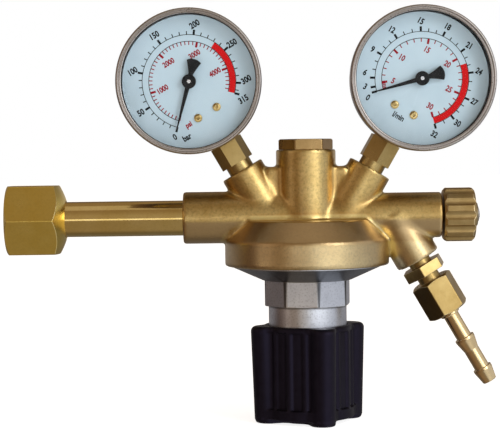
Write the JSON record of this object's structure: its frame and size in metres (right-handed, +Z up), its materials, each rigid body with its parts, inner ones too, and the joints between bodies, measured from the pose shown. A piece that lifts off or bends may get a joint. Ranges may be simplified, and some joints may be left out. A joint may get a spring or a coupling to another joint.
{
  "type": "gas regulator",
  "caption": "Cylinder gas regulator: forged brass body with inlet nut, dial gauges, outlet valve with barbed hose tail, and an adjusting knob under a zinc bonnet.",
  "frame": {"origin": "centre of the inlet's sealing face, on the inlet axis", "axes": "+X from the inlet into the body, +Z up, gauges face -Y"},
  "size_m": [0.2145, 0.0722, 0.1811],
  "materials": {
    "machined_brass": "turned, satin",
    "polished_brass": "turned, polished",
    "forged_brass": "forged and tumbled, satin",
    "sintered_bronze": "dull",
    "copper_ring": "soft ring, dull",
    "zinc_casting": "pale die casting, satin",
    "satin_steel": "satin",
    "plated_steel": "plated",
    "spring_steel": "wire, oiled",
    "dark_washer": "dull",
    "black_plastic": "moulded, satin",
    "black_rubber": "matte",
    "white_seal": "matte",
    "dial_white": "printed, matte",
    "pointer_black": "matte",
    "window_glass": "clear"
  },
  "bodies": {
    "root": {"inlet_nipple": "polished_brass", "inlet_seal": "white_seal", "inlet_filter": "sintered_bronze", "body": "forged_brass", "valve_cap": "machined_brass", "cap_seal": "copper_ring", "valve_spring": "spring_steel", "valve_nozzle": "machined_brass", "diaphragm": "black_rubber", "slip_ring": "sintered_bronze", "adjusting_spring": "spring_steel", "bonnet": "zinc_casting", "outlet_valve_gland": "machined_brass", "gland_seal": "black_rubber", "outlet_adapter": "machined_brass", "adapter_seal": "white_seal", "flow_orifice": "sintered_bronze", "hose_tail": "machined_brass", "gauge_seals": "copper_ring", "window_seals": "black_rubber", "blowout_plugs": "black_rubber", "dial_screws": "machined_brass", "movement_pillars": "machined_brass", "case_screws": "plated_steel", "supply_socket": "machined_brass", "supply_case": "satin_steel", "supply_bezel": "satin_steel", "supply_window": "window_glass", "supply_dial": "dial_white", "supply_plates": "machined_brass", "supply_tube": "sintered_bronze", "flow_socket": "machined_brass", "flow_case": "satin_steel", "flow_bezel": "satin_steel", "flow_window": "window_glass", "flow_dial": "dial_white", "flow_plates": "machined_brass", "flow_tube": "sintered_bronze"},
    "inlet_nut": {"inlet_nut": "machined_brass"},
    "spring_button": {"spring_button": "plated_steel"},
    "adjuster": {"adjusting_knob": "black_plastic", "adjusting_screw": "plated_steel"},
    "valve_lift": {"valve_poppet": "machined_brass", "seat_pad": "white_seal", "diaphragm_plate": "machined_brass", "spring_plate": "plated_steel"},
    "outlet_disc": {"outlet_valve_disc": "white_seal"},
    "outlet_handwheel": {"outlet_valve_spindle": "machined_brass", "outlet_valve_knob": "machined_brass", "knob_washer": "dark_washer", "knob_screw": "plated_steel"},
    "outlet_nut": {"outlet_nut": "machined_brass"},
    "supply_pointer": {"supply_pointer": "pointer_black", "supply_arbor": "plated_steel"},
    "supply_sector": {"supply_sector": "machined_brass"},
    "supply_link": {"supply_link": "plated_steel"},
    "flow_pointer": {"flow_pointer": "pointer_black", "flow_arbor": "plated_steel"},
    "flow_sector": {"flow_sector": "machined_brass"},
    "flow_link": {"flow_link": "plated_steel"}
  },
  "joints": [
    {"name": "inlet_nut_spin", "type": "hinge", "parent": "root", "child": "inlet_nut", "pos_m": [0, 0, 0], "axis": [1, 0, 0], "continuous": true},
    {"name": "screw_travel", "type": "slide", "parent": "root", "child": "spring_button", "axis": [0, 0, 1], "range_m": [0, 0.006], "deforming": ["adjusting_spring"]},
    {"name": "knob_turn", "type": "hinge", "parent": "spring_button", "child": "adjuster", "pos_m": [0.1137, 0, 0], "axis": [0, 0, 1], "range_deg": [0, 1440]},
    {"name": "poppet_lift", "type": "slide", "parent": "root", "child": "valve_lift", "axis": [0, 0, 1], "range_m": [0, 0.0008], "deforming": ["valve_spring", "diaphragm"]},
    {"name": "outlet_valve_travel", "type": "slide", "parent": "root", "child": "outlet_disc", "axis": [1, 0, 0], "range_m": [0, 0.002]},
    {"name": "outlet_valve_turn", "type": "hinge", "parent": "outlet_disc", "child": "outlet_handwheel", "pos_m": [0.1137, 0, 0], "axis": [1, 0, 0], "range_deg": [0, 720]},
    {"name": "outlet_nut_spin", "type": "hinge", "parent": "root", "child": "outlet_nut", "pos_m": [0.1514, 0, 0], "axis": [0.5, 0, -0.866], "continuous": true},
    {"name": "supply_pointer_turn", "type": "hinge", "parent": "root", "child": "supply_pointer", "pos_m": [0.0631, 0, 0.05958], "axis": [0, 1, 0], "range_deg": [0, 270], "stiffness_Nm_per_rad": 0.0005, "springref_deg": -28.65, "deforming": ["supply_tube"]},
    {"name": "supply_sector_turn", "type": "hinge", "parent": "root", "child": "supply_sector", "pos_m": [0.0715, 0, 0.04503], "axis": [0, 1, 0], "range_deg": [-45, 0]},
    {"name": "supply_link_turn", "type": "hinge", "parent": "supply_sector", "child": "supply_link", "pos_m": [0.07237, 0, 0.04011], "axis": [0, 1, 0], "range_deg": [0, 45]},
    {"name": "flow_pointer_turn", "type": "hinge", "parent": "root", "child": "flow_pointer", "pos_m": [0.1643, 0, 0.05958], "axis": [0, 1, 0], "range_deg": [0, 270], "stiffness_Nm_per_rad": 0.0005, "springref_deg": -28.65, "deforming": ["flow_tube"]},
    {"name": "flow_sector_turn", "type": "hinge", "parent": "root", "child": "flow_sector", "pos_m": [0.1559, 0, 0.04503], "axis": [0, 1, 0], "range_deg": [-45, 0]},
    {"name": "flow_link_turn", "type": "hinge", "parent": "flow_sector", "child": "flow_link", "pos_m": [0.15207, 0, 0.04182], "axis": [0, 1, 0], "range_deg": [0, 45]}
  ],
  "couplings": [
    {"joint": "knob_turn", "follows": "screw_travel", "rad_per_m": 4188.8},
    {"joint": "poppet_lift", "follows": "screw_travel", "ratio": 0.13333},
    {"joint": "outlet_valve_turn", "follows": "outlet_valve_travel", "rad_per_m": 6283.2},
    {"joint": "supply_sector_turn", "follows": "supply_pointer_turn", "ratio": -0.16667},
    {"joint": "supply_link_turn", "follows": "supply_pointer_turn", "ratio": 0.16667},
    {"joint": "flow_sector_turn", "follows": "flow_pointer_turn", "ratio": -0.16667},
    {"joint": "flow_link_turn", "follows": "flow_pointer_turn", "ratio": 0.16667}
  ]
}
